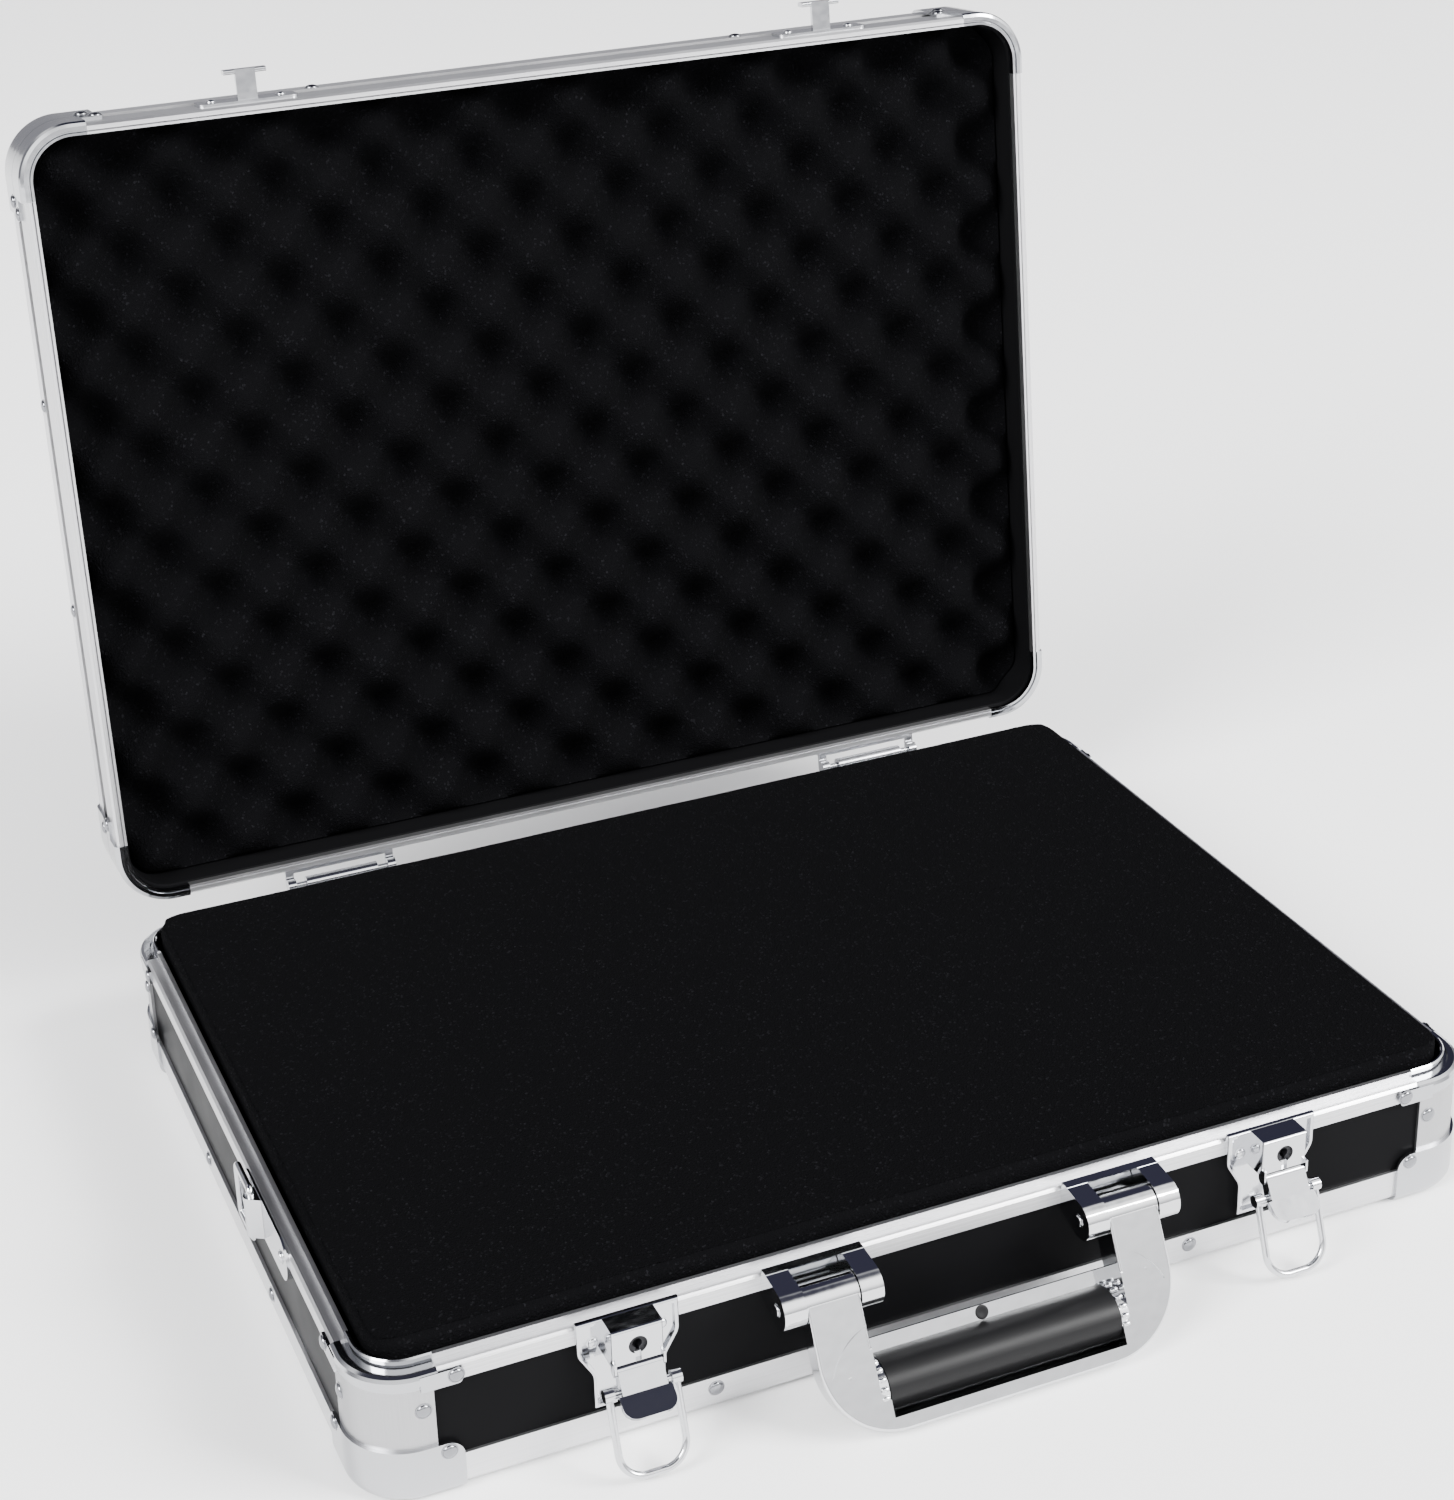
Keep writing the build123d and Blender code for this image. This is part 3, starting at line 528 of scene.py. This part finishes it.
class FLIGHTCASE_OT_corners(bpy.types.Operator):
    """Give the corner pieces, caps and upright sheets their finishes"""

    bl_idname = "flight_case.corners"
    bl_label = "Corners"

    def execute(self, context):
        castings = [
            name for name in frame["nodes"]
            if "rim_corner" in name or "corner_cap" in name or name.startswith("lid_corner")
        ]
        sheets = [name for name in frame["nodes"] if "corner_sheet" in name]
        finish_nodes(castings, plated("Chromed corner castings", "#b2b3b6", 0.08, 0.16, 0.3))
        finish_nodes(sheets, brushed())
        return {"FINISHED"}


class FLIGHTCASE_OT_base_foam(bpy.types.Operator):
    """Make the foam block that fills the base"""

    bl_idname = "flight_case.base_foam"
    bl_label = "Base foam"

    def execute(self, context):
        sizes = context.scene.flight_case_sizes
        low, high = box_mm("base_foam")
        inset, corner = 0.2, 12.0
        bm = foam_grid(high.x - inset, high.y - inset, corner)
        # the top sags and swells a little over its width, and is faintly rough
        top, sag, sag_width, rough, rough_width = high.z - 0.35, 0.25, 45.0, 0.08, 6.0
        for vert in bm.verts:
            soft = noise.noise(Vector((vert.co.x, vert.co.y, 0)) / sag_width)
            fine = noise.noise(Vector((vert.co.x, vert.co.y, 9)) / rough_width)
            vert.co.z = top - sag * soft - rough * fine
        border = give_depth(bm, low.z)
        bmesh.ops.bevel(
            bm, geom=border, offset=sizes.foam_edge / MM, segments=5, profile=0.5,
            affect="EDGES", material=-1, clamp_overlap=False,
        )
        made = piece("base_foam_block", bm, "base", foam_rubber(), sharp=80)
        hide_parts("base_foam")
        return {"FINISHED"}


class FLIGHTCASE_OT_lid_foam(bpy.types.Operator):
    """Make the egg-crate foam in the lid"""

    bl_idname = "flight_case.lid_foam"
    bl_label = "Lid foam"

    def execute(self, context):
        sizes = context.scene.flight_case_sizes
        half_w = box_mm("lid_foam")[1].x
        half_d = HALF_D - (HALF_W - half_w)
        corner, columns, rows = 15.2, 20, 15
        cell_w, cell_d = 2 * half_w / columns, 2 * half_d / rows
        # heights in the shut lid, where the peaks point down
        peak, roof, depth = 59.4, 81.4, sizes.pit_depth / MM
        # above 1, broad peaks between narrow pits
        narrow = 1.3
        # height and width of the cut surface's unevenness
        uneven, uneven_width = 0.5, 9.0
        bm = foam_grid(half_w, half_d, corner)
        for vert in bm.verts:
            across = math.cos(math.pi * (vert.co.x / cell_w + columns / 2 - 0.5))
            along = math.cos(math.pi * (vert.co.y / cell_d + rows / 2 - 0.5))
            sunk = ((1 - across * along) / 2) ** narrow
            ragged = abs(noise.noise(vert.co / uneven_width))
            vert.co.z = peak + depth * sunk + uneven * ragged
        give_depth(bm, roof)
        made = piece(
            "lid_foam_sheet", bm, "lid", foam_rubber(), lid_placement(), sharp=80
        )
        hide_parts("lid_foam")
        return {"FINISHED"}


class FLIGHTCASE_OT_rivets(bpy.types.Operator):
    """Set the rivets of the rims, corners and trims"""

    bl_idname = "flight_case.rivets"
    bl_label = "Rivets"

    def execute(self, context):
        sizes = context.scene.flight_case_sizes
        radius, height = sizes.rivet_radius / MM, sizes.rivet_height / MM
        # share of the height that the heads on top of the lid have
        flatter = 0.6
        finish = plated("Nickel-plated steel rivets", "#85868a", 0.05, 0.1, 0.2)
        for body, placement in (("base", CASE), ("lid", lid_placement())):
            bm = bmesh.new()
            trim_z, trim_xs, trim_ys = TRIM_RIVETS[body]
            for sx in (-1, 1):
                for sy in (-1, 1):
                    for along, z, out in CORNER_RIVETS[body]:
                        front = (sx * (HALF_W - along), sy * (HALF_D + out), z)
                        side = (sx * (HALF_W + out), sy * (HALF_D - along), z)
                        rivet(bm, front, (0, sy, 0), radius, height)
                        rivet(bm, side, (sx, 0, 0), radius, height)
                    if body == "lid":
                        at = (sx * (HALF_W - TOP_RIVET), sy * (HALF_D - TOP_RIVET), LID_TOP)
                        rivet(bm, at, (0, 0, 1), radius, flatter * height)
            for sy in (-1, 1):
                for x in trim_xs:
                    rivet(bm, (x, sy * HALF_D, trim_z), (0, sy, 0), radius, height)
            for sx in (-1, 1):
                for y in trim_ys:
                    rivet(bm, (sx * HALF_W, y, trim_z), (sx, 0, 0), radius, height)
            piece(f"{body}_rivets", bm, body, finish, placement, sharp=50)
        return {"FINISHED"}


class FLIGHTCASE_OT_latches(bpy.types.Operator):
    """Finish the latches, and set their rivets"""

    bl_idname = "flight_case.latches"
    bl_label = "Latches"

    def execute(self, context):
        chrome = plated("Chromed pressed steel", "#c6c7ca", 0.05, 0.11, 0.35)
        wire = plated("Chromed wire", "#c6c7ca", 0.07, 0.12, 0.15)
        # the lock barrel is given a near black that is painted shade: it stands in for the shade
        # deep in the recess round the keyhole, not for the plug's own metal
        barrel = moulded("Lock barrel in painted recess shade", (*linear("#17171a"), 1), 0.3, 0.45)
        # plates and keepers are pressed from 1.2 mm sheet that lies on the rims
        front, radius = -HALF_D - 1.2, 1.8
        plate_reach, plate_z, plate_dome = 12.1, 43.8, 1.2
        keeper_reach, keeper_z, keeper_dome = 14.0, 60.0, 1.0
        for side in SIDES:
            pressed = [f"latch_{side}_{part}" for part in ("plate", "keeper", "lever")]
            finish_nodes(pressed, chrome)
            finish_nodes([f"latch_{side}_bail"], wire)
            finish_nodes([f"latch_{side}_lock_plug"], barrel)
            x = pivot_mm(f"{side}_latch_lever_turn").x
            places = [(x + reach, front, plate_z) for reach in (-plate_reach, plate_reach)]
            rivet_row(
                f"latch_{side}_rivets", places, (0, -1, 0), radius, plate_dome, "base", chrome
            )
            places = [(x + reach, front, keeper_z) for reach in (-keeper_reach, keeper_reach)]
            rivet_row(
                f"keeper_{side}_rivets", places, (0, -1, 0), radius, keeper_dome, "lid", chrome,
                lid_placement(),
            )
        return {"FINISHED"}


class FLIGHTCASE_OT_handle(bpy.types.Operator):
    """Finish the handle and its brackets, and make its flutes, marks, screw and pin heads"""

    bl_idname = "flight_case.handle"
    bl_label = "Handle"

    def execute(self, context):
        chrome = plated("Chromed zinc casting", "#cfd0d2", 0.05, 0.12, 0.3)
        brackets = [f"handle_{side}_bracket" for side in SIDES]
        finish_nodes(["handle_frame", *brackets], chrome)
        vinyl = moulded("Moulded PVC grip", colour_of("grip"), 0.34, 0.46)
        finish_nodes(["handle_grip"], vinyl)

        # flutes round the collars that hold the grip's ends: upper half of an oval round the grip
        bm = bmesh.new()
        collar_x, middle, level, across, out = 45.8, -33.7, -4.8, 9.3, 11.0
        count, first, step = 9, 12.0, 19.5
        flute = [(0.0, -1.4), (0.7, -1.3), (0.95, -0.9), (0.95, 0.9), (0.7, 1.3), (0.0, 1.4)]
        lying = Matrix.Rotation(math.pi / 2, 4, "Y")
        for side in (-1, 1):
            for angle in (math.radians(first + step * i) for i in range(count)):
                at = (middle + across * math.cos(angle), level + out * math.sin(angle))
                turned(bm, flute, Matrix.Translation((side * collar_x, *at)) @ lying, steps=12)
        # ejector marks of the casting, one on each arm
        arm_face = 6.2
        mark = [(0.0, -0.2), (0.55, -0.2), (0.45, 0.12), (0.0, 0.15)]
        for x, along in ((-57.0, -27.0), (57.0, -20.5)):
            turned(bm, mark, facing((x, along, arm_face), (0, 0, 1)), steps=12)
        piece(
            "handle_flutes", bm, "handle", chrome, handle_placement(), sharp=50
        )

        # dark countersunk screw in the strip over the grip, a little off its middle
        bm = bmesh.new()
        head = [
            (0.0, -0.5), (2.5, -0.5), (2.5, 0.05), (2.35, 0.2), (2.1, 0.25), (1.3, 0.14),
            (0.6, 0.08), (0.0, 0.06),
        ]
        turned(bm, head, facing((-1.5, -21.3, level), (0, 0, 1)))
        black = moulded("Blackened steel screw", (*linear("#08080a"), 1), 0.4, 0.5)
        piece("handle_screw", bm, "handle", black, handle_placement(), sharp=50)

        # heads of the pins, on both sides of each bracket
        bm = bmesh.new()
        for bracket in brackets:
            low, high = box_mm(bracket)
            for x, outward in ((low.x, -1), (high.x, 1)):
                at = (x, HANDLE_PIN.y, HANDLE_PIN.z)
                rivet(bm, at, (outward, 0, 0), radius=2.0, height=0.7)
        piece("handle_pin_heads", bm, "base", chrome, sharp=50)
        return {"FINISHED"}


class FLIGHTCASE_OT_hinges(bpy.types.Operator):
    """Finish the hinges and the strap ring, and set their rivets"""

    bl_idname = "flight_case.hinges"
    bl_label = "Hinges and strap ring"

    def execute(self, context):
        chrome = plated("Chromed hinge steel", "#c6c7ca", 0.07, 0.14, 0.3)
        # three rivets in each leaf, which is 1.5 mm thick
        back, spacing, radius, height = HALF_D + 1.5, 15, 2.0, 0.9
        leaves = (("base", 38.0, CASE), ("lid", 59.8, lid_placement()))
        for side in SIDES:
            x = middle_x(f"hinge_{side}_base_leaf")
            for body, z, placement in leaves:
                finish_nodes([f"hinge_{side}_{body}_leaf"], chrome)
                places = [(x + across, back, z) for across in (-spacing, 0, spacing)]
                name = f"hinge_{side}_{body}_rivets"
                rivet_row(name, places, (0, 1, 0), radius, height, body, chrome, placement)

        finish_nodes(["strap_left_plate", "strap_left_ring"], chrome)
        # the strap's plate is 1.2 mm sheet, with a rivet 8 mm from each end
        low, high = box_mm("strap_left_plate")
        face, from_end, z = -HALF_W - 1.2, 8.0, (low.z + high.z) / 2
        places = [(face, y, z) for y in (high.y - from_end, low.y + from_end)]
        rivet_row("strap_left_rivets", places, (-1, 0, 0), 2.2, 1.2, "base", chrome)
        return {"FINISHED"}


def paper_floor(scene):
    """Matt white paper: pale and even, with soft shadows."""
    bm = bmesh.new()
    bmesh.ops.create_grid(bm, x_segments=2, y_segments=2, size=12.0)
    mesh = bpy.data.meshes.new("studio_floor")
    bm.to_mesh(mesh)
    bm.free()
    floor = bpy.data.objects.new("studio_floor", mesh)
    scene.collection.objects.link(floor)
    shader = {"Base Color": (*linear("#f7f7f7"), 1), "Roughness": 0.9, "Specular IOR Level": 0.1}
    paper, *_ = material("Matt white paper", **shader)
    mesh.materials.append(paper)


def studio_world():
    """White halfway up, with greyer walls, a dark back of the room and a dark ceiling, which
    give the chrome its bands."""
    world = bpy.data.worlds.new("Studio")
    world.use_nodes = True
    tree = world.node_tree
    sight = add(tree, "ShaderNodeTexCoord").outputs["Generated"]
    around = (1, 1, 1, 1)
    # each part of the room: the way to its middle, the cosines of the angles from there at which
    # it starts and is full, and its brightness
    for way, starts, full, tone in (
        ((0, 0, -1), -0.5, 0.0, 0.3),
        ((-0.65, 0.75, 0.0), 0.45, 0.8, 0.12),
        ((0.40, 0.80, 0.45), 0.55, 0.85, 0.11),
        ((0.33, 0.60, 0.73), 0.86, 0.95, 0.015),
        ((-0.15, -0.10, 0.98), 0.76, 0.88, 0.02),
    ):
        toward = add(
            tree, "ShaderNodeVectorMath", {0: sight, 1: way}, operation="DOT_PRODUCT"
        )
        fade = add(
            tree, "ShaderNodeMapRange",
            {"Value": toward.outputs["Value"], "From Min": starts, "From Max": full},
            interpolation_type="SMOOTHSTEP",
        )
        mixed = add(
            tree, "ShaderNodeMixRGB",
            {
                "Fac": fade.outputs["Result"],
                "Color1": around, "Color2": (tone, tone, tone + 0.01, 1),
            },
        )
        around = mixed.outputs["Color"]
    # the camera itself sees past the floor to an even pale grey
    seen = add(
        tree, "ShaderNodeMixRGB",
        {
            "Fac": add(tree, "ShaderNodeLightPath").outputs["Is Camera Ray"],
            "Color1": around, "Color2": (0.9, 0.9, 0.9, 1),
        },
    )
    background = tree.nodes["Background"]
    tree.links.new(seen.outputs["Color"], background.inputs["Color"])
    background.inputs["Strength"].default_value = 3.6
    return world


def softbox(scene, name, at, size, power):
    """A square soft light, in metres and watts, turned to the case's back edge."""
    data = bpy.data.lights.new(name, "AREA")
    data.shape = "RECTANGLE"
    data.size, data.size_y, data.energy = size, size, power
    lamp = bpy.data.objects.new(name, data)
    lamp.location = at
    lamp.rotation_euler = (Vector((0, 0.6, 0)) - Vector(at)).to_track_quat("-Z", "Y").to_euler()
    scene.collection.objects.link(lamp)


def photo_camera(scene):
    """The photograph's camera: its bearing, height, roll and place, and its lens in pixels."""
    azimuth, elevation, roll = (math.radians(a) for a in (-22.64, 23.33, -1.71))
    place = Vector((-378.8, -872.7, 632.0)) * MM
    width, height, focal, centre_x, centre_y = 1454, 1500, 2832.7, 722.25, 592.0
    film = 36.0
    back = Vector((
        math.sin(azimuth) * math.cos(elevation),
        -math.cos(azimuth) * math.cos(elevation),
        math.sin(elevation),
    ))
    right = (-back).cross(Vector((0, 0, 1))).normalized()
    up = right.cross(-back)
    level_right = math.cos(roll) * right + math.sin(roll) * up
    level_up = -math.sin(roll) * right + math.cos(roll) * up
    data = bpy.data.cameras.new("camera")
    data.sensor_width = film
    data.lens = focal * film / height
    data.shift_x = (width / 2 - centre_x) / height
    data.shift_y = (centre_y - height / 2) / height
    data.clip_start = 0.05
    camera = bpy.data.objects.new("camera", data)
    turn = Matrix((level_right, level_up, back)).transposed().to_4x4()
    camera.matrix_world = Matrix.Translation(place) @ turn
    scene.collection.objects.link(camera)
    return camera


class FLIGHTCASE_OT_stage(bpy.types.Operator):
    """Set the pale floor, the soft lights and the camera"""

    bl_idname = "flight_case.stage"
    bl_label = "Stage"

    def execute(self, context):
        scene = context.scene
        paper_floor(scene)
        scene.world = studio_world()
        softbox(scene, "softbox_left", (-4.2, -1.6, 3.6), 2.6, 620.0)
        softbox(scene, "softbox_right", (3.6, -3.2, 3.2), 2.4, 760.0)
        scene.camera = photo_camera(scene)
        return {"FINISHED"}


OPERATORS = (
    FLIGHTCASE_OT_boards, FLIGHTCASE_OT_rims, FLIGHTCASE_OT_corners, FLIGHTCASE_OT_base_foam,
    FLIGHTCASE_OT_lid_foam, FLIGHTCASE_OT_rivets, FLIGHTCASE_OT_latches, FLIGHTCASE_OT_handle,
    FLIGHTCASE_OT_hinges, FLIGHTCASE_OT_stage,
)


class FLIGHTCASE_PT_panel(bpy.types.Panel):
    """The case's pieces, sizes and colours"""

    bl_label = "Flight Case"
    bl_space_type = "VIEW_3D"
    bl_region_type = "UI"
    bl_category = "Flight Case"

    def draw(self, context):
        for group in (context.scene.flight_case_sizes, context.scene.flight_case_colours):
            box = self.layout.box()
            for name in group.__annotations__:
                box.prop(group, name)
        for operator in OPERATORS:
            self.layout.operator(operator.bl_idname)


CLASSES = (CaseSizes, CaseColours, *OPERATORS, FLIGHTCASE_PT_panel)


def register():
    for item in CLASSES:
        bpy.utils.register_class(item)
    bpy.types.Scene.flight_case_sizes = bpy.props.PointerProperty(type=CaseSizes)
    bpy.types.Scene.flight_case_colours = bpy.props.PointerProperty(type=CaseColours)


def unregister():
    del bpy.types.Scene.flight_case_colours
    del bpy.types.Scene.flight_case_sizes
    for item in reversed(CLASSES):
        bpy.utils.unregister_class(item)


def main():
    register()
    for operator in OPERATORS:
        name = operator.bl_idname.split(".")[1]
        if getattr(bpy.ops.flight_case, name)() != {"FINISHED"}:
            raise RuntimeError(f"{operator.bl_label} didn't finish")


if __name__ == "__main__":
    main()
